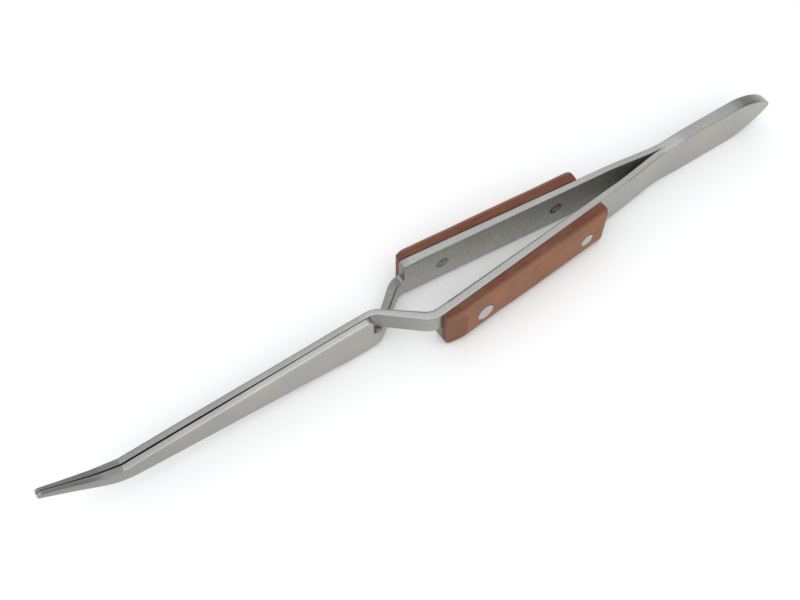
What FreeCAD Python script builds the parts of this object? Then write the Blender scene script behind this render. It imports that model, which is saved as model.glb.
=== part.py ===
# Bent-tip cross-lock tweezers.
# X runs along the tool, jaws toward -X and tail toward +X. Y = 0 is the plane where the
# two blades meet. Z is up. The origin is at the middle of the length, on the lower edge.
# "left" is the side of the handle at -Y, seen from the tail toward the jaws.

import FreeCAD, Part
import math
import os
import re
import Sketcher
from FreeCAD import Vector

doc = FreeCAD.newDocument("Tweezers")

# ---- driving dimensions, millimetres and degrees ----

driving = {
    "length": 165.6,
    "stripWidth": 9.4,         # height of each blade strip on edge
    "stripThick": 1.4,
    "handThick": 2.0,          # the strip thickens along the grip toward the neck bend
    "tailWidth": 10.3,         # the welded tail is a little wider than the strip
    "jawGap": 0.1,             # daylight between the closed jaws
    "leafRear": 51.6,          # X where the leaves part in front of the weld
    "leafFront": 41.0,         # X where the leaf runs into the straight grip seat
    "leafAngle": 7.9,
    "seatAngle": 4.6,          # slope of the grip seat in plan
    "neckStart": 7.9,          # distance of the neck bend in front of the origin
    "neckAngle": 38.4,         # slope of the crossing neck in plan
    "neckShare": 0.48,         # part of the strip width that each neck keeps
    "leftNose": 6.7,           # distance of the step from handle to neck
    "rightNose": 6.8,
    "jawHeel": 17.8,           # distance of the step from neck to jaw
    "jawKeel": 23.0,           # where the lower jaw edge starts to rise
    "bendReach": 68.9,         # distance of the tip bend
    "bendTop": 7.9,            # upper jaw edge at the bend, above the strip's lower edge
    "bendBottom": 4.3,
    "hookReach": 73.2,         # the upper edge steepens here, between bend and tip
    "hookTop": 9.5,
    "tipTop": 14.7,            # end of the upper edge, above the strip's lower edge
    "tipBottom": 13.7,
    "tipSlant": 0.75,          # how far the tip's lower corner stands in front of the upper
    "tipThick": 0.75,
    "leftGripFront": 6.8,      # distance of the grip's front end in front of the origin
    "rightGripFront": 6.8,
    "leftGripRear": 33.8,      # X of the grip's rear end
    "rightGripRear": 33.3,
    "gripThick": 3.1,
    "leftGripNose": 1.8,       # front end of the grip, measured out from stripThick
    "rightGripNose": 1.9,
    "leftGripBevel": 4.3,      # length of the front bevel
    "rightGripBevel": 2.3,
    "gripRound": 1.5,          # rounding of the grip's long outer edges
    "rivetFront": 1.8,
    "rivetRear": 28.1,
    "shankRadius": 1.2,
    "peenRadius": 1.4,
    "frontHeadRadius": 1.9,
    "rearHeadRadius": 1.5,
    "flexPivot": 46.0,         # X of the line about which the leaf bends
    "kerf": 0.25,              # cut between the moving blade and its tail
    "tailShoulder": 77.2,      # X of the corner rounded into the bullet-shaped tail end
    "weldRadius": 2.0,
    "weldDepth": 0.5,          # how deep a weld nugget reaches into each blade
    "weldFront": 57.0,
    "weldRear": 68.0,
}

sheet = doc.addObject("Spreadsheet::Sheet", "Sizes")
for row, (alias, value) in enumerate(driving.items(), start=1):
    sheet.set(f"A{row}", alias)
    sheet.set(f"B{row}", str(value))
    sheet.setAlias(f"B{row}", alias)
doc.recompute()


def bound(formula):
    # a formula in the names above, as an expression on the sheet's cells
    return re.sub(r"[a-zA-Z]+", lambda m: f"Sizes.{m[0]}" if m[0] in driving else m[0], formula)


def number(formula):
    return float(sheet.evalExpression(bound(formula)))


# ---- sketches and bodies ----

def new_body(name):
    return doc.addObject("PartDesign::Body", name)


def new_sketch(body, name, role):
    sketch = body.newObject("Sketcher::SketchObject", name)
    plane = next(f for f in body.Origin.OriginFeatures if f.Role == role)
    sketch.AttachmentSupport = [(plane, "")]
    sketch.MapMode = "FlatFace"
    return sketch


def constrain(sketch, kind, *args, formula=None):
    index = sketch.addConstraint(Sketcher.Constraint(kind, *args))
    if formula:
        sketch.setExpression(f"Constraints[{index}]", bound(formula))


def place(sketch, geometry, position, x, y):
    # ties one point of the geometry to the sketch origin
    constrain(sketch, "DistanceX", -1, 1, geometry, position, number(x), formula=x)
    constrain(sketch, "DistanceY", -1, 1, geometry, position, number(y), formula=y)


def outline(sketch, corners):
    # Closed outline through corners (x, y) or (x, y, radius), all formulas. A corner with
    # a radius is rounded by an arc tangent to both its lines.
    count = len(corners)
    points = [Vector(number(c[0]), number(c[1]), 0) for c in corners]
    starts = []
    ends = []
    arcs = {}
    for i, corner in enumerate(corners):
        here = points[i]
        back = (points[i - 1] - here).normalize()
        ahead = (points[(i + 1) % count] - here).normalize()
        if len(corner) == 2:
            ends.append(here)
            starts.append(here)
            continue
        radius = number(corner[2])
        half = back.getAngle(ahead) / 2
        run = radius / math.tan(half)
        centre = here + (back + ahead).normalize() * (radius / math.sin(half))
        first = here + back * run
        last = here + ahead * run
        left = back.cross(ahead).z < 0
        begin = first if left else last
        finish = last if left else first
        a0 = math.atan2(begin.y - centre.y, begin.x - centre.x)
        a1 = math.atan2(finish.y - centre.y, finish.x - centre.x)
        circle = Part.Circle(centre, Vector(0, 0, 1), radius)
        arcs[i] = (sketch.addGeometry(Part.ArcOfCircle(circle, a0, a1)), left)
        ends.append(first)
        starts.append(last)
    lines = [sketch.addGeometry(Part.LineSegment(starts[i], ends[(i + 1) % count]))
             for i in range(count)]
    for i, corner in enumerate(corners):
        before = lines[i - 1]
        after = lines[i]
        if i not in arcs:
            constrain(sketch, "Coincident", before, 2, after, 1)
            place(sketch, after, 1, corner[0], corner[1])
            continue
        arc, left = arcs[i]
        mark = sketch.addGeometry(Part.Point(points[i]), True)
        place(sketch, mark, 1, corner[0], corner[1])
        constrain(sketch, "PointOnObject", mark, 1, before)
        constrain(sketch, "PointOnObject", mark, 1, after)
        constrain(sketch, "Tangent", before, 2, arc, 1 if left else 2)
        constrain(sketch, "Tangent", arc, 2 if left else 1, after, 1)
        constrain(sketch, "Radius", arc, number(corner[2]), formula=corner[2])


def pad(body, sketch, length, midplane=False):
    feature = body.newObject("PartDesign::Pad", sketch.Name + "Pad")
    feature.Profile = sketch
    feature.setExpression("Length", bound(length))
    feature.SideType = "Symmetric" if midplane else "One side"
    return feature


def boolean(kind, name, first, second):
    feature = doc.addObject(kind, name)
    feature.Base = first
    feature.Tool = second
    return feature


# ---- plan of one blade ----
# The inner face of the left blade is a run of straight stretches, from the weld to the jaw.
# Angles are slopes in plan along -X: minus moves away from the other blade.

LEAF = "(-leafAngle)"
SEAT = "(-seatAngle)"
NECK = "neckAngle"
leafDrop = "((leafRear - leafFront) * tan(leafAngle))"
neckDrop = f"({leafDrop} + (leafFront + neckStart) * tan(seatAngle))"
crossRise = f"({neckDrop} + stripThick + jawGap / 2)"
jawFace = f"(neckStart + {crossRise} / tan(neckAngle))"     # where the neck meets the jaw


def outward(x, y, before, after, thick="stripThick"):
    # the same corner on the outer face, one strip thickness away
    share = f"{thick} / cos(({after} - {before}) / 2)"
    mean = f"(({before} + {after}) / 2)"
    return f"({x} - {share} * sin({mean}))", f"({y} - {share} * cos({mean}))"


weldCorner = ("leafRear", "0")
leafCorner = ("leafFront", f"(-{leafDrop})")
neckCorner = ("(-neckStart)", f"(-{neckDrop})")
jawCorner = (f"(-{jawFace})", "(stripThick + jawGap / 2)")
tipCorner = ("(-length / 2 - 1)", "(tipThick + jawGap / 2)")
taperCorner = ("(-bendReach)", "(stripThick + jawGap / 2)")

outerWeld = outward(*weldCorner, "0", LEAF)
outerLeaf = outward(*leafCorner, LEAF, SEAT)
outerNeck = outward(*neckCorner, SEAT, NECK, "handThick")
innerJaw = outward(*jawCorner, NECK, "0")


def at_split(corner, angle, x):
    # the point of a straight stretch at a given X
    return x, f"({corner[1]} + (({corner[0]}) - ({x})) * tan{angle})"


armEnd = "(flexPivot - kerf / 2)"
tailEnd = "(flexPivot + kerf / 2)"
armPlan = [
    at_split(weldCorner, LEAF, armEnd),
    (*leafCorner, "60"),
    (*neckCorner, "3.5"),
    (*jawCorner, "5"),
    (*taperCorner, "40"),
    tipCorner,
    (tipCorner[0], "(jawGap / 2)"),
    (*innerJaw, "3.5"),
    (*outerNeck, "5"),
    (*outerLeaf, "60"),
    at_split(outerWeld, LEAF, armEnd),
]
tailPlan = [
    at_split(weldCorner, LEAF, tailEnd),
    at_split(outerWeld, LEAF, tailEnd),
    (*outerWeld, "40"),
    ("(length / 2 + 1)", "(-stripThick)"),
    ("(length / 2 + 1)", "0"),
    (*weldCorner, "40"),
]

# ---- side view of one blade ----

low = "((tailWidth - stripWidth) / 2)"
high = f"({low} + stripWidth)"
middle = "(tailWidth / 2)"

jawUnder = [
    ("(-jawKeel)", low, "20"),
    ("(-bendReach - 1.2)", f"({low} + bendBottom)", "11"),
    ("(-length / 2 - 0.23)", f"({low} + tipBottom)", "0.6"),
]
jawOver = [
    ("(-length / 2 - 0.23 + tipSlant)", f"({low} + tipTop)", "0.5"),
    ("(-hookReach)", f"({low} + hookTop)", "15"),
    ("(-bendReach)", f"({low} + bendTop)", "0.8"),
]

# The left neck is the upper part of the strip, the right neck the lower part.
upperNeck = f"({high} - neckShare * stripWidth)"
lowerNeck = f"({low} + neckShare * stripWidth)"
sideOf = {
    "left": [
        (armEnd, low),
        ("(-leftNose)", low, "1"),
        ("(-leftNose)", upperNeck, "0.6"),
        ("(-jawHeel)", upperNeck, "0.6"),
        ("(-jawHeel)", low, "1.2"),
        *jawUnder,
        *jawOver,
        ("(-jawKeel)", high, "40"),
        (armEnd, high),
    ],
    "right": [
        (armEnd, low),
        *jawUnder,
        *jawOver,
        ("(-jawKeel)", high, "40"),
        ("(-jawHeel)", high, "1.2"),
        ("(-jawHeel)", lowerNeck, "0.6"),
        ("(-rightNose)", lowerNeck, "0.6"),
        ("(-rightNose)", high, "0.3"),
        (armEnd, high),
    ],
}
tailSide = [
    (tailEnd, low),
    ("(leafRear + 1)", low, "8"),
    ("(leafRear + 6)", "0", "8"),
    ("tailShoulder", "0", "14"),
    ("(length / 2 + 0.48)", middle, "1"),
    ("tailShoulder", "tailWidth", "14"),
    ("(leafRear + 6)", "tailWidth", "8"),
    ("(leafRear + 1)", high, "8"),
    (tailEnd, high),
]

# ---- pieces on the grip seat ----
# The seat frame has its origin on the inner face of the left blade at X = 0. Its Y axis
# points out through the blade and the grip.

seatY = f"({leafDrop} + leafFront * tan(seatAngle))"


# the strip's two outer corners beside the seat, along the seat
neckEdge = "(-neckStart / cos(seatAngle) - handThick * tan((neckAngle + seatAngle) / 2))"
leafEdge = "(leafFront / cos(seatAngle) + stripThick * tan((leafAngle - seatAngle) / 2))"


def strip_at(along):
    # how thick the strip is at this distance along the seat
    share = f"({leafEdge} - ({along})) / ({leafEdge} - {neckEdge})"
    return f"(stripThick + (handThick - stripThick) * {share})"


def on_seat(body, sign, along, lift):
    # stands a body on the grip seat of one side, with its local Y pointing outward
    x = f"({along}) * cos(seatAngle)"
    y = f"{sign} * ({seatY} - ({along}) * sin(seatAngle))"
    for axis, formula in zip("xyz", (x, y, lift)):
        body.setExpression(f"Placement.Base.{axis}", bound(formula))
    body.setExpression("Placement.Rotation.Angle", bound(f"{-sign} * seatAngle"))


def rivet(name, sign, along, head):
    # flush countersunk head outside, peened end flush with the inner face of the blade
    body = new_body(name)
    sketch = new_sketch(body, name + "Half", "XY_Plane")
    outer = f"{sign} * (stripThick + gripThick)"
    outline(sketch, [
        ("0", "0"),
        ("peenRadius", "0"),
        ("shankRadius", f"{sign} * 0.45"),
        ("shankRadius", f"{outer} - {sign} * 0.9"),
        (head, outer),
        ("0", outer),
    ])
    turned = body.newObject("PartDesign::Revolution", name + "Turned")
    turned.Profile = sketch
    turned.ReferenceAxis = (sketch, ["V_Axis"])
    turned.Angle = 360
    on_seat(body, sign, along, middle)
    return body


def grip(name, side, sign):
    # a slab bevelled in plan, with its long outer edges rounded in section
    front = f"(-{side}GripFront)"
    rear = f"{side}GripRear"
    face = f"{sign} * (stripThick + gripThick)"
    planBody = new_body(name + "PlanSlab")
    planSketch = new_sketch(planBody, name + "Plan", "XY_Plane")
    outline(planSketch, [
        (front, f"{sign} * {strip_at(front)}"),
        (rear, f"{sign} * {strip_at(rear)}"),
        (rear, face, "1.8"),
        (f"({side}GripBevel - {side}GripFront)", face, "2"),
        (front, f"{sign} * (stripThick + {side}GripNose)", "0.4"),
    ])
    pad(planBody, planSketch, "stripWidth")
    sectionBody = new_body(name + "SectionBar")
    sectionSketch = new_sketch(sectionBody, name + "Section", "YZ_Plane")
    outline(sectionSketch, [
        (f"{sign} * stripThick", "0"),
        (face, "0", "gripRound"),
        (face, "stripWidth", "gripRound"),
        (f"{sign} * stripThick", "stripWidth"),
    ])
    pad(sectionBody, sectionSketch, "length", midplane=True)
    for body in (planBody, sectionBody):
        on_seat(body, sign, "0", low)
    return boolean("Part::Common", name + "Block", planBody, sectionBody)


def blade(name, sign, plan, side):
    # a plan slab and a side slab; the strip is what they share
    planBody = new_body(name + "PlanSlab")
    planSketch = new_sketch(planBody, name + "Plan", "XY_Plane")
    outline(planSketch, [(c[0], f"{-sign} * {c[1]}", *c[2:]) for c in plan])
    pad(planBody, planSketch, "stripWidth * 2")
    sideBody = new_body(name + "SideSlab")
    sideSketch = new_sketch(sideBody, name + "Side", "XZ_Plane")
    outline(sideSketch, side)
    pad(sideBody, sideSketch, "stripWidth * 3", midplane=True)
    return boolean("Part::Common", name + "Strip", planBody, sideBody)


pieces = []


def label(piece, node):
    piece.Label = node
    pieces.append(piece)


nuggets = []
for name, where in (("FrontNugget", "weldFront"), ("RearNugget", "weldRear")):
    nugget = doc.addObject("Part::Cylinder", name)
    nugget.setExpression("Radius", bound("weldRadius"))
    nugget.setExpression("Height", bound("weldDepth * 2"))
    nugget.Placement.Rotation = FreeCAD.Rotation(Vector(1, 0, 0), 90)
    nugget.setExpression("Placement.Base.x", bound(where))
    nugget.setExpression("Placement.Base.y", bound("weldDepth"))
    nugget.setExpression("Placement.Base.z", bound(middle))
    nuggets.append(nugget)
weld = doc.addObject("Part::MultiFuse", "TailWeld")
weld.Shapes = nuggets
label(weld, "tail_weld")

for side, sign in (("left", -1), ("right", 1)):
    front = rivet(side + "FrontRivet", sign, "rivetFront", "frontHeadRadius")
    rear = rivet(side + "RearRivet", sign, "rivetRear", "rearHeadRadius")
    both = doc.addObject("Part::MultiFuse", side + "Rivets")
    both.Shapes = [front, rear]
    slab = grip(side + "GripSlab", side, sign)
    strip = blade(side + "Arm", sign, armPlan, sideOf[side])
    tail = blade(side + "Tail", sign, tailPlan, tailSide)
    label(boolean("Part::Cut", side + "Blade", strip, both), f"{side}_blade")
    label(boolean("Part::Cut", side + "BladeTail", tail, weld), f"{side}_blade_tail")
    label(boolean("Part::Cut", side + "Grip", slab, both), f"{side}_grip")
    label(front, f"{side}_front_rivet")
    label(rear, f"{side}_rear_rivet")

doc.recompute()

# ---- checks and files ----

for item in doc.Objects:
    faults = {"Invalid", "Error"} & set(item.State)
    if faults:
        raise RuntimeError(f"{item.Name}: {item.State}")
for piece in pieces:
    if piece.Shape.isNull() or not piece.Shape.isValid():
        raise RuntimeError(f"{piece.Label}: bad shape")

os.makedirs("parts", exist_ok=True)
for piece in pieces:
    piece.Shape.exportStep(f"parts/{piece.Label}.step")
    box = piece.Shape.BoundBox
    print(f"{piece.Label:20s} {len(piece.Shape.Solids)} solid  {piece.Shape.Volume:8.1f} mm3"
          f"  x {box.XMin:.2f}..{box.XMax:.2f}  y {box.YMin:.2f}..{box.YMax:.2f}"
          f"  z {box.ZMin:.2f}..{box.ZMax:.2f}")
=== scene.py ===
import math

import bmesh
import bpy
from mathutils import Matrix, Vector, noise


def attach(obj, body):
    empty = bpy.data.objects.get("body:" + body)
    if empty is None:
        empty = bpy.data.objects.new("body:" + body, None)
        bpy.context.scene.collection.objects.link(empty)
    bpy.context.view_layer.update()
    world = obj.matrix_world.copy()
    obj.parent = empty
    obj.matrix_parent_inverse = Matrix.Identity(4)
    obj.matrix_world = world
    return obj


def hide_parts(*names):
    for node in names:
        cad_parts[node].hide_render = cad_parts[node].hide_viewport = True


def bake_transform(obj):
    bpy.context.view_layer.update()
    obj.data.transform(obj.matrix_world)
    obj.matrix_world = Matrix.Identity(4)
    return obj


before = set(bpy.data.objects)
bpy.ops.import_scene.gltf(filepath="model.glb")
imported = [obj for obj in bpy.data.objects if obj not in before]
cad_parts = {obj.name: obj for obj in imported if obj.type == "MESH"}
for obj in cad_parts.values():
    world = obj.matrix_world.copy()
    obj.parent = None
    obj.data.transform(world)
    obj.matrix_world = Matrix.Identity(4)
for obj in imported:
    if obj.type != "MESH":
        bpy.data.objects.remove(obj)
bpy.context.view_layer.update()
print("frame loaded")

# Shapes are built in millimetres and shrunk to metres as each piece is finished.
metre = 0.001
cornerStep = 10        # degrees for each facet of a rounded corner
flat = 0.985           # a face this square to a side of the strip counts as that side


def smooth(t):
    t = min(1.0, max(0.0, t))
    return t * t * (3 - 2 * t)


def fade(x, start, end):
    # nought before start, one after end, eased between
    return smooth((x - start) / (end - start))


def allOf(bm):
    return bm.verts[:] + bm.edges[:] + bm.faces[:]


def bevel(bm, edges, width, segments, clamp=True):
    bmesh.ops.bevel(bm, geom=edges, offset=width, offset_type="OFFSET", segments=segments,
                    profile=0.5, affect="EDGES", clamp_overlap=clamp, material=-1)


def cutBlank(corners, low, high):
    # a slab between two Y values with this outline of (x, z, radius) corners
    bm = bmesh.new()
    made = bmesh.ops.create_circle(bm, cap_ends=True, segments=len(corners), radius=1)
    for vert, (x, z, _) in zip(made["verts"], corners):
        vert.co = (x, low, z)
    grown = bmesh.ops.extrude_face_region(bm, geom=bm.faces[:])["geom"]
    moved = [g for g in grown if isinstance(g, bmesh.types.BMVert)]
    bmesh.ops.translate(bm, verts=moved, vec=(0, high - low, 0))
    bmesh.ops.recalc_face_normals(bm, faces=bm.faces)
    for x, z, radius in corners:
        edge = next(e for e in bm.edges
                    if all(abs(v.co.x - x) + abs(v.co.z - z) < 1e-4 for v in e.verts))
        turn = edge.calc_face_angle()
        pieces = max(3, math.ceil(math.degrees(turn) / cornerStep))
        bevel(bm, [edge], radius * math.tan(turn / 2), pieces, clamp=False)
    return bm


def cutAcross(bm, stations):
    # an edge loop round the piece at each of these X values
    for station in stations:
        bmesh.ops.bisect_plane(bm, geom=allOf(bm), dist=1e-5,
                               plane_co=(station, 0, 0), plane_no=(1, 0, 0))


def shave(bm, place, facing):
    # takes off everything outside this plane and closes the cut
    bmesh.ops.bisect_plane(bm, geom=allOf(bm), dist=1e-5, clear_outer=True,
                           plane_co=place, plane_no=facing)
    bmesh.ops.holes_fill(bm, edges=[e for e in bm.edges if e.is_boundary], sides=0)
    bmesh.ops.recalc_face_normals(bm, faces=bm.faces)


def layOut(bm):
    # own UV in millimetres: along the piece, and across whichever face it is
    topShift, endShift = 20, 40        # tops and ends get grain of their own
    lay = bm.loops.layers.uv.new("lay")
    for face in bm.faces:
        nx, ny, nz = (abs(v) for v in face.normal)
        for loop in face.loops:
            x, y, z = loop.vert.co
            if ny >= nz and ny >= nx:
                loop[lay].uv = (x, z)
            elif nz >= nx:
                loop[lay].uv = (x, y + topShift)
            else:
                loop[lay].uv = (y + endShift, z)


def finishPiece(bm, name, material, nodes, body=None, sharp=40):
    bmesh.ops.recalc_face_normals(bm, faces=bm.faces)
    bmesh.ops.scale(bm, verts=bm.verts, vec=(metre,) * 3)
    for face in bm.faces:
        face.smooth = True
    for edge in bm.edges:
        edge.smooth = edge.calc_face_angle(0) < math.radians(sharp)
    mesh = bpy.data.meshes.new(name)
    bm.to_mesh(mesh)
    bm.free()
    piece = bpy.data.objects.new(name, mesh)
    bpy.context.scene.collection.objects.link(piece)
    mesh.materials.append(material)
    weighted = piece.modifiers.new("even_shading", "WEIGHTED_NORMAL")
    weighted.keep_sharp = True
    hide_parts(*nodes)
    if body:
        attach(piece, body)
    return piece


def newMaterial(name):
    material = bpy.data.materials.new(name)
    material.use_nodes = True
    tree = material.node_tree
    return material, tree, tree.nodes["Principled BSDF"]


def node(tree, kind, **settings):
    made = tree.nodes.new("ShaderNode" + kind)
    for key, value in settings.items():
        setattr(made, key, value)
    return made


def wire(tree, source, target):
    # source is a socket or a plain value
    if isinstance(source, bpy.types.NodeSocket):
        tree.links.new(source, target)
    else:
        target.default_value = source


def calc(tree, operation, first, *others):
    # works through the values from left to right
    for value in others:
        made = node(tree, "Math", operation=operation)
        wire(tree, first, made.inputs[0])
        wire(tree, value, made.inputs[1])
        first = made.outputs[0]
    return first


def addShare(tree, base, value, share):
    return calc(tree, "ADD", base, calc(tree, "MULTIPLY", value, share))


def swing(tree, value, amount):
    # noise as a factor that swings about one
    return addShare(tree, 1.0, calc(tree, "SUBTRACT", value, 0.5), amount)


def spread(tree, value, low, high, toLow, toHigh):
    made = node(tree, "MapRange")
    for socket, number in zip(made.inputs, (value, low, high, toLow, toHigh)):
        wire(tree, number, socket)
    return made.outputs[0]


def blendColour(tree, factor, first, second, kind="MIX"):
    made = node(tree, "Mix", data_type="RGBA", blend_type=kind)
    wire(tree, factor, made.inputs[0])
    wire(tree, first, made.inputs[6])
    wire(tree, second, made.inputs[7])
    return made.outputs[2]


def tinted(tree, value, low, high, first, second, most=1.0):
    # from the first colour to the second, or part of the way, as the value goes from low to high
    return blendColour(tree, spread(tree, value, low, high, 0.0, most), first, second)


def attribute(tree, name):
    return node(tree, "Attribute", attribute_name=name).outputs["Fac"]


def layPlace(tree):
    return node(tree, "UVMap", uv_map="lay").outputs[0]


def grain(tree, stretch, detail, rough, place=None):
    # noise; stretch is in cycles for each unit of the place it is laid on
    mapping = node(tree, "Mapping")
    tree.links.new(place or layPlace(tree), mapping.inputs[0])
    mapping.inputs["Scale"].default_value = stretch
    made = node(tree, "TexNoise")
    made.inputs["Scale"].default_value = 1.0
    made.inputs["Detail"].default_value = detail
    made.inputs["Roughness"].default_value = rough
    tree.links.new(mapping.outputs[0], made.inputs["Vector"])
    return made.outputs["Fac"]


def cloudy(tree, size, detail, rough):
    # even noise through the whole body, in cycles for each metre
    return grain(tree, (size,) * 3, detail, rough, node(tree, "TexCoord").outputs["Object"])


def addBump(tree, shader, height, strength, depth):
    made = node(tree, "Bump")
    made.inputs["Strength"].default_value = strength
    made.inputs["Distance"].default_value = depth
    tree.links.new(height, made.inputs["Height"])
    tree.links.new(made.outputs[0], shader.inputs["Normal"])


stripSteel = {
    "left": (0.42, 0.413, 0.392, 1), "right": (0.415, 0.408, 0.388, 1),
    "warmth": (1, 0.985, 0.94, 1),             # what the warmer clouds keep of each colour
    "tops": (0.47, 0.47, 0.45, 1), "inside": (0.45, 0.44, 0.405, 1),
    "rough": (0.29, 0.43),                     # polished faces, from the low to the high streaks
    "crossRough": 0.10, "insideRough": 0.08,   # what grinding across adds
    # painted shade and painted dark reflection: how far the rim attribute darkens the steel
    "paintedShadeLoss": 0.4,
    "tipShadeFrom": -34, "tipShadeTo": -82, "tipShadeTone": 0.68,      # painted shade, darker toward the tip
    "bump": 0.4, "bumpDepth": 0.00003,
}


def groundSteel(side):
    # broad faces polished lengthwise, edges and inner faces ground across
    s = stripSteel
    material, tree, shader = newMaterial(side + "_strip_steel")
    cross = attribute(tree, "cross")
    inside = attribute(tree, "inside")
    along = grain(tree, (0.16, 7.0, 1), 5, 0.65)
    across = grain(tree, (4.5, 0.3, 1), 5, 0.75)
    speck = grain(tree, (2.6, 2.6, 1), 4, 0.75)
    cloud = cloudy(tree, 130, 2, 0.5)
    streaks = spread(tree, cross, 0, 1, along, across)
    rough = addShare(tree, calc(tree, "MULTIPLY", cross, s["crossRough"]), inside, s["insideRough"])

    streak = swing(tree, streaks, addShare(tree, 0.3, rough, 6.0))
    mottle = swing(tree, speck, addShare(tree, 0.12, rough, 5.0))
    haze = spread(tree, cloud, 0.3, 0.7, 0.94, 1.04)
    station = node(tree, "SeparateXYZ")
    tree.links.new(layPlace(tree), station.inputs[0])
    # painted shade: the steel darkens toward the tip
    tipShade = spread(tree, station.outputs[0], s["tipShadeTo"], s["tipShadeFrom"], s["tipShadeTone"], 1.0)
    # painted shade and painted dark reflection, carried by the rim attribute, darken the colour
    edges = addShare(tree, 1.0, attribute(tree, "rim"), -s["paintedShadeLoss"])
    shade = calc(tree, "MULTIPLY", streak, haze, mottle, tipShade, edges)
    grey = node(tree, "CombineColor")
    for socket in grey.inputs:
        tree.links.new(shade, socket)

    tone = s[side]
    warmer = [part * kept for part, kept in zip(tone, s["warmth"])]
    colour = tinted(tree, cloud, 0.35, 0.65, tone, warmer)
    colour = blendColour(tree, calc(tree, "SUBTRACT", cross, inside), colour, s["tops"])
    colour = blendColour(tree, inside, colour, s["inside"])
    colour = blendColour(tree, 1.0, colour, grey.outputs[0], "MULTIPLY")
    tree.links.new(colour, shader.inputs["Base Color"])
    shader.inputs["Metallic"].default_value = 1.0
    polish = spread(tree, streaks, 0.25, 0.75, *s["rough"])
    tree.links.new(addShare(tree, polish, rough, 0.8), shader.inputs["Roughness"])
    height = addShare(tree, streaks, speck, addShare(tree, 0.2, rough, 9.0))
    addBump(tree, shader, height, s["bump"], s["bumpDepth"])
    return material


gripFibre = {
    "red": ((0.088, 0.023, 0.010, 1), (0.185, 0.055, 0.026, 1)),      # edges, dark to light
    "brown": ((0.215, 0.08, 0.031, 1), (0.31, 0.13, 0.056, 1)),       # ground outer face
    "blotch": (0.15, 0.085, 0.055, 1), "hair": (0.36, 0.20, 0.13, 1), "rim": (0.24, 0.16, 0.12, 1),
    "gapShadeAndDirt": (0.045, 0.03, 0.024, 1), "gapShadeWidth": 0.24,               # dirt and painted shade of the gap round each rivet head
    "rough": (0.5, 0.66), "specular": 0.3, "bump": 0.5, "bumpDepth": 0.00004,
}


def pressedFibre(name):
    # resin-bonded fibre with long grain: red on the edges, brown where the face is ground
    f = gripFibre
    material, tree, shader = newMaterial(name)
    long = grain(tree, (0.10, 2.6, 1), 5, 0.65)
    hair = grain(tree, (0.5, 16.0, 1), 4, 0.7)
    blotch = cloudy(tree, 190, 3, 0.6)
    red = tinted(tree, long, 0.32, 0.68, *f["red"])
    brown = tinted(tree, long, 0.32, 0.68, *f["brown"])
    base = blendColour(tree, attribute(tree, "face"), red, brown)
    base = tinted(tree, blotch, 0.42, 0.7, base, f["blotch"], most=0.5)
    base = tinted(tree, hair, 0.55, 0.75, base, f["hair"], most=0.45)
    base = tinted(tree, attribute(tree, "rim"), 0, 1, base, f["rim"], most=0.35)
    # a dark line of dirt and painted gap shade round each rivet head
    place = layPlace(tree)
    for which in ("front", "rear"):
        reach = node(tree, "VectorMath", operation="DISTANCE")
        tree.links.new(place, reach.inputs[0])
        reach.inputs[1].default_value = (grips[which], rivets["middle"], 0)
        radius = grips[which + "Head"]
        ring = spread(tree, reach.outputs["Value"], radius + 0.02, radius + f["gapShadeWidth"], 0.85, 0.0)
        base = blendColour(tree, ring, base, f["gapShadeAndDirt"])
    tree.links.new(base, shader.inputs["Base Color"])
    tree.links.new(spread(tree, hair, 0.3, 0.7, *f["rough"]), shader.inputs["Roughness"])
    shader.inputs["Specular IOR Level"].default_value = f["specular"]
    addBump(tree, shader, addShare(tree, hair, long, 1.4), f["bump"], f["bumpDepth"])
    return material


pinLook = {
    "head": ((0.42, 0.425, 0.435, 1), (0.55, 0.55, 0.56, 1)),
    "end": ((0.16, 0.155, 0.15, 1), (0.34, 0.335, 0.33, 1)),
    "rough": (0.22, 0.5), "bump": 0.5, "bumpDepth": 0.00003,
}


def rivetSteel():
    # heads ground flush along the grip, inner ends hammered
    p = pinLook
    material, tree, shader = newMaterial("rivet_heads")
    end = attribute(tree, "end")
    lines = grain(tree, (0.7, 14.0, 1), 4, 0.65)
    dent = grain(tree, (1.6, 1.6, 1), 2, 0.5)
    bright = tinted(tree, lines, 0.3, 0.7, *p["head"])
    dark = tinted(tree, dent, 0.35, 0.65, *p["end"])
    tree.links.new(blendColour(tree, end, bright, dark), shader.inputs["Base Color"])
    shader.inputs["Metallic"].default_value = 1.0
    rough = spread(tree, calc(tree, "ADD", lines, end), 0.3, 1.7, *p["rough"])
    tree.links.new(rough, shader.inputs["Roughness"])
    dents = calc(tree, "MULTIPLY", dent, end, 6.0)
    addBump(tree, shader, addShare(tree, dents, lines, 0.4), p["bump"], p["bumpDepth"])
    return material


weldLook = {
    "straw": (0.42, 0.36, 0.27, 1), "blue": (0.28, 0.31, 0.40, 1), "scale": (0.2, 0.19, 0.18, 1),
    "rough": (0.4, 0.65), "bump": 0.6, "bumpDepth": 0.00005,
}


def weldSteel():
    # the nuggets between the tails, once melted: grainy, straw and blue heat colours
    w = weldLook
    material, tree, shader = newMaterial("weld_nugget")
    boil = cloudy(tree, 900, 4, 0.6)
    heat = tinted(tree, cloudy(tree, 260, 2, 0.5), 0.35, 0.65, w["straw"], w["blue"])
    tree.links.new(tinted(tree, boil, 0.4, 0.7, heat, w["scale"], most=0.6), shader.inputs["Base Color"])
    shader.inputs["Metallic"].default_value = 1.0
    tree.links.new(spread(tree, boil, 0.3, 0.7, *w["rough"]), shader.inputs["Roughness"])
    addBump(tree, shader, boil, w["bump"], w["bumpDepth"])
    return material


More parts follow.
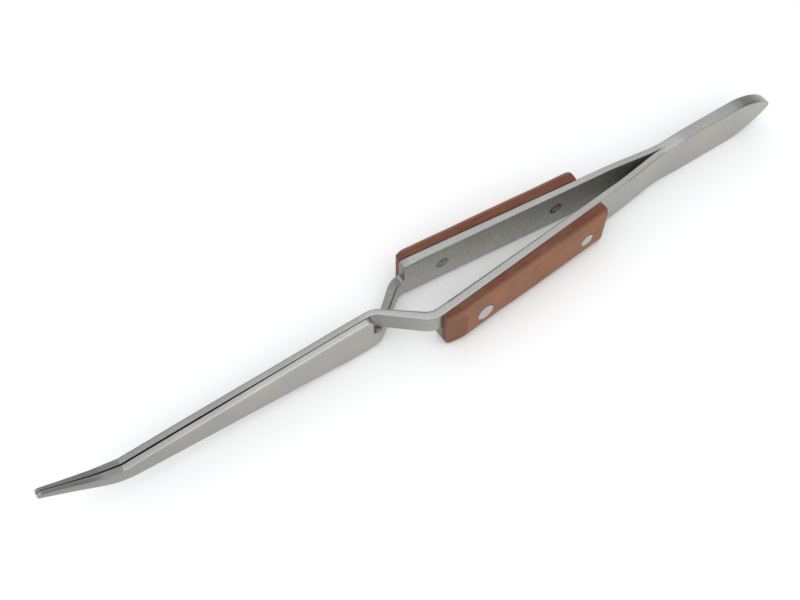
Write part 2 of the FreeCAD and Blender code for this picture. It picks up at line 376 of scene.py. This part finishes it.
def floorPaper():
    material, tree, shader = newMaterial("pale_floor")
    paper = blendColour(tree, cloudy(tree, 9, 2, 0.5), (0.93, 0.93, 0.93, 1), (0.95, 0.95, 0.945, 1))
    tree.links.new(paper, shader.inputs["Base Color"])
    shader.inputs["Roughness"].default_value = 0.85
    shader.inputs["Specular IOR Level"].default_value = 0.2
    return material


# blades: one strip each, from the bullet tail over the crossing neck to the bent tip

blades = {
    "thick": 1.4, "tipThick": 0.75, "taperFrom": -68.9, "taperTo": -82.4, "taperEase": 0.85,
    # inner face in plan: (x, y, slope after it toward the jaw, bend radius)
    "bends": [(51.6, 0.0, -7.9, 40), (41.0, -1.4709, -4.6, 60),
              (-7.9, -5.4053, 38.4, 4.2), (-16.549, 1.45, 0.0, 3.9)],
    # how far each jaw stands off the middle behind the tip bend, and where that comes and goes
    "bow": 0.12, "bowComes": (-26, -58), "bowGoes": (-79, -68),
    "steps": (-6.7, -6.8, -17.8),                  # ends of the two necks, where no loop is cut
    # the strip thickens along the grip, most at the neck bend, and is plain again by the jaw
    "hand": 0.6, "handFrom": 41, "handMost": -7.9, "handEnd": -16.5,
    "flexRear": 0.055, "flexFront": 0.037,         # metres; the stretch of the real arm that flexes
    # edge loops, closer where the strip bends: (first x, step, how many)
    "loops": [(83, 1.5, 16), (59, 0.8, 31), (34, 2, 20), (-5, 0.3, 18), (-10.9, 0.8, 4),
              (-13.8, 0.3, 18), (-20, 2, 24), (-67.5, 0.5, 10), (-73, 0.8, 12)],
}

# rounding of the long edges: its width, the share of it that each stretch keeps, and the
# stretches of x where one share turns into the next
rounding = {
    "width": 0.36, "outer": 0.9, "outerTail": 1.3, "seam": 0.03, "inner": 0.48,
    "jawFar": 0.2, "jawNear": 1.5,             # past the crossing the sides change over
    "toTail": (44, 54), "toFree": (52, 47), "toJaw": (-11, -15),
}

# painted shade and painted dark reflection on the steel: share of paintedShadeLoss, and the stretch of x
# it grows in
paintedShade = {
    "rounding": (1.0, 50, 30), "neckSide": (0.7, -5, -14), "neckTop": (1.0, -4, -8),
    "jawTop": (0.45, -17, -23), "step": 1.2,
}

# limits in x of the looks: the arm's roundings spared painted shade, the inner grinding, the neck and
# the jaw's roundings spared painted shade
limits = {"arm": -4, "inside": -16, "neck": -19, "jaw": -17, "step": (-8, -6)}

tailOutline = [(83.28, 5.15, 1.0), (77.2, 10.3, 14), (57.6, 10.3, 8), (52.6, 9.85, 8)]
tailReturn = [(52.6, 0.45, 8), (57.6, 0, 8), (77.2, 0, 14)]
jawOutline = [(-23, 9.85, 40), (-68.9, 8.35, 0.9), (-73.2, 9.95, 15), (-82.28, 15.15, 0.6),
              (-83.03, 14.15, 0.6), (-70.1, 4.75, 11), (-23, 0.45, 20)]
bladeOutline = {
    "left": tailOutline + jawOutline
    + [(-17.8, 0.45, 1.0), (-17.8, 5.338, 0.7), (-6.7, 5.338, 0.7), (-6.7, 0.45, 1.3)] + tailReturn,
    "right": tailOutline
    + [(-6.8, 9.85, 0.5), (-6.8, 4.962, 0.7), (-17.8, 4.962, 0.7), (-17.8, 9.85, 0.9)]
    + jawOutline + tailReturn,
}


def bladePath():
    # middle line of the left blade in plan: where it ends, and each bend as an arc
    half = blades["thick"] / 2
    knots = [(90.0, -half)]
    slopes = [0.0] + [math.radians(b[2]) for b in blades["bends"]]
    for (x, y, _, _), before, after in zip(blades["bends"], slopes, slopes[1:]):
        share = half / math.cos((after - before) / 2)
        mean = (before + after) / 2
        knots.append((x - share * math.sin(mean), y - share * math.cos(mean)))
    arcs = []
    for i, (_, _, _, radius) in enumerate(blades["bends"], start=1):
        before, after = slopes[i - 1], slopes[i]
        reach = radius * math.tan(abs(after - before) / 2)
        x, y = knots[i]
        arcs.append((x + reach * math.cos(before), x - reach * math.cos(after), x, y,
                     before, after, radius, y - reach * math.sin(before)))
    return knots[-1][1], arcs


jawMiddle, pathArcs = bladePath()


def onPath(x):
    # y of the middle line and its slope at this x
    for start, end, kneeX, kneeY, before, after, radius, startY in pathArcs:
        if x > start:
            return kneeY - (x - kneeX) * math.tan(before), before
        if x > end:
            # sine of the slope runs evenly along an arc
            side = 1 if after > before else -1
            slope = math.asin(math.sin(before) + side * (start - x) / radius)
            return startY + side * radius * (math.cos(before) - math.cos(slope)), slope
    return jawMiddle, 0.0


def roundShare(x, outerSide):
    r = rounding
    toJaw = fade(x, *r["toJaw"])
    if outerSide:
        tail = (r["outerTail"] - r["outer"]) * fade(x, *r["toTail"])
        return r["outer"] + tail + (r["jawFar"] - r["outer"]) * toJaw
    free = (r["inner"] - r["seam"]) * fade(x, *r["toFree"])
    return (r["seam"] + free) * (1 - toJaw) + r["jawNear"] * toJaw


def addedThick(x):
    b = blades
    rise = (b["handFrom"] - x) / (b["handFrom"] - b["handMost"])
    fall = (x - b["handEnd"]) / (b["handMost"] - b["handEnd"])
    return b["hand"] * min(1.0, max(0.0, min(rise, fall)))


def nearestOn(runs, p):
    best = None
    for a, b in runs:
        run = b - a
        t = min(1.0, max(0.0, (p - a).dot(run) / max(run.length_squared, 1e-9)))
        foot = a + run * t
        if best is None or (foot - p).length < (best - p).length:
            best = foot
    return best


def roundBlank(bm, half):
    # every long edge gets its own share of the rounding
    width = rounding["width"]
    rims = [e for e in bm.edges if abs(e.verts[0].co.y - e.verts[1].co.y) < 1e-6]
    outline = [[Vector((v.co.x, v.co.z)) for v in e.verts] for e in rims if e.verts[0].co.y > 0]
    bevel(bm, rims, width, 3)
    for vert in bm.verts:
        depth = half - abs(vert.co.y)
        if depth > width + 1e-4:
            continue
        here = Vector((vert.co.x, vert.co.z))
        foot = nearestOn(outline, here)
        share = roundShare(foot.x, vert.co.y < 0)
        here = foot + (here - foot) * share
        vert.co = (here.x, math.copysign(half - depth * share, vert.co.y), here.y)


def paintedShadeShare(kind, x):
    # share of painted shade for this kind at this x
    most, start, end = paintedShade[kind]
    return most * fade(x, start, end)


def markBlank(bm, side):
    # which faces are ground across, which look inward, and which carry painted shade
    cross = bm.faces.layers.float.new("cross")
    rim = bm.faces.layers.float.new("rim")
    inside = bm.faces.layers.float.new("inside")
    for face in bm.faces:
        normal = face.normal
        x = face.calc_center_median().x
        level = abs(normal.y)
        face[inside] = 1.0 if normal.y > flat and x > limits["inside"] else 0.0
        face[cross] = 1.0 if level <= 0.1 or face[inside] else 0.0
        # roundings carry a painted dark reflection, but for those on the outside, which change over at
        # the crossing
        noPaintedShade = normal.y < 0 if x > limits["arm"] else normal.y > 0 and side == "right"
        if limits["jaw"] <= x <= limits["arm"]:
            noPaintedShade = False
        if 0.1 < level < flat and not noPaintedShade:
            face[rim] = paintedShadeShare("rounding", x)
        # painted shade darkens the necks where they run into the crossing, and the far jaw all along its
        # top
        if side == "left" and x < limits["arm"]:
            if normal.y < -flat:
                face[rim] = paintedShadeShare("neckSide", x)
            elif normal.z > 0.9:
                face[rim] = paintedShadeShare("jawTop", x)
        elif limits["neck"] < x < limits["arm"] and normal.z > 0.9:
            face[rim] = paintedShadeShare("neckTop", x)
        # painted shade on the end faces of the neck step
        if normal.x < -0.7 and limits["step"][0] < x < limits["step"][1]:
            face[rim] = paintedShade["step"]


def bendBlank(bm, half):
    b = blades
    for vert in bm.verts:
        x, out, z = vert.co.x, -vert.co.y, vert.co.z
        y, slope = onPath(x)
        thin = smooth((b["taperFrom"] - x) / (b["taperFrom"] - b["taperTo"]) * b["taperEase"])
        thick = 1 + (b["tipThick"] / b["thick"] - 1) * thin
        y -= half * (1 - thick)
        out += (out / half + 1) / 2 * addedThick(x)
        y += b["bow"] * fade(x, *b["bowComes"]) * fade(x, *b["bowGoes"])
        vert.co = (x - out * thick * math.sin(slope), y - out * thick * math.cos(slope), z)


def makeBlade(side, material):
    half = blades["thick"] / 2
    bm = cutBlank(bladeOutline[side], -half, half)
    roundBlank(bm, half)
    loops = [first - step * i for first, step, count in blades["loops"] for i in range(count)]
    cutAcross(bm, [x for x in loops if min(abs(x - e) for e in blades["steps"]) > 0.06])
    bmesh.ops.recalc_face_normals(bm, faces=bm.faces)
    layOut(bm)
    markBlank(bm, side)
    bendBlank(bm, half)
    if side == "right":
        bmesh.ops.scale(bm, verts=bm.verts, vec=(1, -1, 1))
    piece = finishPiece(bm, side + "_blade_strip", material,
                        [side + "_blade", side + "_blade_tail"])
    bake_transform(piece)
    print(side, "blade", len(piece.data.polygons))


# grips: bevelled slabs of red-brown fibre on the outside of each leaf

grips = {
    "seat": 1.4, "face": 4.5, "height": 9.4, "lift": 0.45, "angle": 4.6, "seatY": 4.7696,
    "edge": 1.6, "noseRound": 1.3, "noseCuts": 6, "noseTurn": 13,      # degrees between the cuts
    "bevelBlend": 2, "crisp": 0.13,
    "waveOut": 0.09, "waveUp": 0.07,           # the slabs are sanded by hand
    "front": 1.8, "frontHead": 1.9, "rear": 28.1, "rearHead": 1.5,     # rivets
    # ends in x, what the front bevel leaves of the slab, and where the bevel runs out
    "left": {"nose": -6.8, "noseFace": 3.2, "bevelEnd": -2.5, "end": 33.8, "waveStart": 7},
    "right": {"nose": -6.8, "noseFace": 3.3, "bevelEnd": -4.5, "end": 33.3, "waveStart": 0},
}


def seatPlace(side):
    # from the grip seat, Y pointing out through the grip, to the row frame
    sign = -1 if side == "left" else 1
    turn = Matrix.Rotation(math.radians(-sign * grips["angle"]), 4, "Z")
    return (Matrix.Translation((0, sign * grips["seatY"], grips["lift"])) @ turn
            @ Matrix.Diagonal((1, sign, 1, 1)))


def sandFront(bm, g):
    # the front bevel is one straight cut that blends into the face
    run, drop = g["bevelEnd"] - g["nose"], g["face"] - g["noseFace"]
    slant = math.atan2(drop, run)
    blend = g["bevelBlend"]
    middle = Vector((g["bevelEnd"] + blend * math.tan(slant / 2), g["face"] - blend, 0))
    for share in (1.0, 0.25, 0.5, 0.75):
        turn = slant * share
        facing = Vector((-math.sin(turn), math.cos(turn), 0))
        shave(bm, middle + facing * blend, facing)
    # the lower front corner is sanded round
    middle = Vector((g["nose"] + g["noseRound"], 0, g["noseRound"]))
    for step in range(1, g["noseCuts"] + 1):
        turn = math.radians(g["noseTurn"] * step)
        facing = Vector((-math.cos(turn), 0, -math.sin(turn)))
        shave(bm, middle + facing * g["noseRound"], facing)


def makeGrip(side, material):
    g = {**grips, **grips[side]}
    size = (g["end"] - g["nose"], g["face"] - g["seat"], g["height"])
    bm = bmesh.new()
    bmesh.ops.create_cube(bm, size=1)
    bmesh.ops.translate(bm, verts=bm.verts, vec=(0.5, 0.5, 0.5))
    bmesh.ops.scale(bm, verts=bm.verts, vec=size)
    bmesh.ops.translate(bm, verts=bm.verts, vec=(g["nose"], g["seat"], 0))
    outer = [e for e in bm.edges if all(v.co.y > g["face"] - 0.01 for v in e.verts)
             and max(v.co.x for v in e.verts) > g["end"] - 0.01]
    bevel(bm, outer, g["edge"], 7)
    # the strip under the grip thickens toward the neck, so the slab thins
    for vert in bm.verts:
        if vert.co.y < g["seat"] + 0.01:
            vert.co.y += addedThick(vert.co.x)
    sandFront(bm, g)
    bevel(bm, [e for e in bm.edges if e.calc_face_angle(0) > math.radians(50)], g["crisp"], 2)
    cutAcross(bm, [g["nose"] + 1.3 * i for i in range(1, 31)])
    bmesh.ops.recalc_face_normals(bm, faces=bm.faces)
    layOut(bm)

    face = bm.faces.layers.float.new("face")
    rim = bm.faces.layers.float.new("rim")
    for part in bm.faces:
        # the outer face shows the brown inside, the front bevel less of it
        frontLoss = 0.6 * fade(-part.normal.x, 0.1, 0.25)
        part[face] = fade(part.normal.y, 0.25, 0.85) * (1 - frontLoss)
        part[rim] = fade(abs(part.normal.y - 0.6), 0.45, 0.05)
    # no long face is quite flat
    for vert in bm.verts:
        x, y, z = vert.co
        if y > g["seat"] + 0.3:
            wave = noise.noise(Vector((x * 0.11, y * 0.2, z * 0.13 + g["waveStart"])))
            vert.co.y += g["waveOut"] * wave
            vert.co.z += g["waveUp"] * noise.noise(Vector((x * 0.13 + 9, z * 0.1, 3)))
    bmesh.ops.transform(bm, matrix=seatPlace(side), verts=bm.verts)
    piece = finishPiece(bm, side + "_grip_slab", material, [side + "_grip"], side + "_arm")
    print(side, "grip", len(piece.data.polygons))


# rivets: flush countersunk heads outside, peened ends inside

rivets = {
    "shank": 1.2, "peen": 1.4, "proud": 0.05, "sides": 48, "middle": 4.7,
}


def turned(profile, sides):
    # a solid of rising rings (radius, height) about the Y axis
    bm = bmesh.new()
    radius, height = profile[0]
    bmesh.ops.create_circle(bm, cap_ends=True, segments=sides, radius=radius)
    bmesh.ops.rotate(bm, verts=bm.verts, cent=(0, 0, 0), matrix=Matrix.Rotation(math.pi / 2, 3, "X"))
    bmesh.ops.translate(bm, verts=bm.verts, vec=(0, height, 0))
    top = bm.faces[:]
    for nextRadius, nextHeight in profile[1:]:
        grown = bmesh.ops.extrude_face_region(bm, geom=top)["geom"]
        verts = [g for g in grown if isinstance(g, bmesh.types.BMVert)]
        top = [g for g in grown if isinstance(g, bmesh.types.BMFace)]
        bmesh.ops.scale(bm, verts=verts, vec=(nextRadius / radius, 1, nextRadius / radius))
        bmesh.ops.translate(bm, verts=verts, vec=(0, nextHeight - height, 0))
        radius, height = nextRadius, nextHeight
    bmesh.ops.recalc_face_normals(bm, faces=bm.faces)
    return bm


def makeRivet(side, which, material):
    r = rivets
    head = grips[which + "Head"]
    out = grips["face"] + r["proud"]
    bm = turned([
        (r["peen"] * 0.5, -0.06), (r["peen"] * 0.85, -0.045), (r["peen"], 0.0), (r["shank"], 0.45),
        (r["shank"], out - 0.95), (head - 0.06, out - 0.07), (head - 0.03, out - 0.03),
        (head - 0.1, out), (head * 0.6, out + 0.02), (head * 0.25, out + 0.028),
    ], r["sides"])
    layOut(bm)
    end = bm.faces.layers.float.new("end")
    for face in bm.faces:
        face[end] = 1.0 if face.calc_center_median().y < 0.4 else 0.0
    bmesh.ops.translate(bm, verts=bm.verts, vec=(grips[which], 0, r["middle"]))
    bmesh.ops.transform(bm, matrix=seatPlace(side), verts=bm.verts)
    finishPiece(bm, f"{side}_{which}_pin", material,
                [f"{side}_{which}_rivet"], side + "_arm", sharp=50)
    print(side, which, "rivet")


bladeSteel = {side: groundSteel(side) for side in ("left", "right")}
redFibre = pressedFibre("grip_fibre_red")
pinSteel = rivetSteel()

for side in ("left", "right"):
    makeBlade(side, bladeSteel[side])
for side in ("left", "right"):
    makeGrip(side, redFibre)
    makeRivet(side, "front", pinSteel)
    makeRivet(side, "rear", pinSteel)

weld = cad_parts["tail_weld"]
weld.data.materials.clear()
weld.data.materials.append(weldSteel())
print("weld finished")

# the stage: white paper, a soft room, two lamps and the camera; metres and degrees, lens and
# film in millimetres

stage = {
    "floorSize": 6, "floorDrop": 0.0001,
    "sky": (0.97, 0.985, 1.0, 1),
    # the room is dark past the tail end: glow over this stretch of the X direction
    "skyStretch": (0.46, 0.82), "skyGlow": (1.06, 0.16),
    # place, size and power
    "lamps": {"overhead": ((0.05, -0.25, 0.9), 0.8, 1.9), "front": ((-0.45, -0.45, 0.45), 0.4, 0.6)},
    "camera": (-0.06853, -0.08506, 0.18007), "down": 59.56, "round": -33.95,
    "lens": 48.26, "film": 36, "shift": 0.0136, "near": 0.01, "far": 20,
}

bpy.ops.mesh.primitive_plane_add(size=stage["floorSize"], location=(0, 0, -stage["floorDrop"]))
floor = bpy.context.object
floor.name = "floor"
floor.data.materials.append(floorPaper())

world = bpy.data.worlds.new("studio")
bpy.context.scene.world = world
bpy.context.scene.view_settings.view_transform = "Standard"
world.use_nodes = True
sky = world.node_tree
parts = node(sky, "SeparateXYZ")
sky.links.new(node(sky, "TexCoord").outputs["Generated"], parts.inputs[0])
glow = spread(sky, parts.outputs[0], *stage["skyStretch"], *stage["skyGlow"])
sky.links.new(glow, sky.nodes["Background"].inputs["Strength"])
sky.nodes["Background"].inputs["Color"].default_value = stage["sky"]

for name, (place, size, power) in stage["lamps"].items():
    data = bpy.data.lights.new(name, "AREA")
    data.size = size
    data.energy = power
    lamp = bpy.data.objects.new(name, data)
    lamp.location = place
    lamp.rotation_euler = (-Vector(place)).to_track_quat("-Z", "Y").to_euler()
    bpy.context.scene.collection.objects.link(lamp)

cameraData = bpy.data.cameras.new("camera")
cameraData.lens = stage["lens"]
cameraData.sensor_width = stage["film"]
cameraData.shift_y = stage["shift"]
cameraData.clip_start = stage["near"]
cameraData.clip_end = stage["far"]
camera = bpy.data.objects.new("camera", cameraData)
camera.location = stage["camera"]
camera.rotation_euler = (math.radians(90 - stage["down"]), 0, math.radians(stage["round"]))
bpy.context.scene.collection.objects.link(camera)
bpy.context.scene.camera = camera
print("stage set")
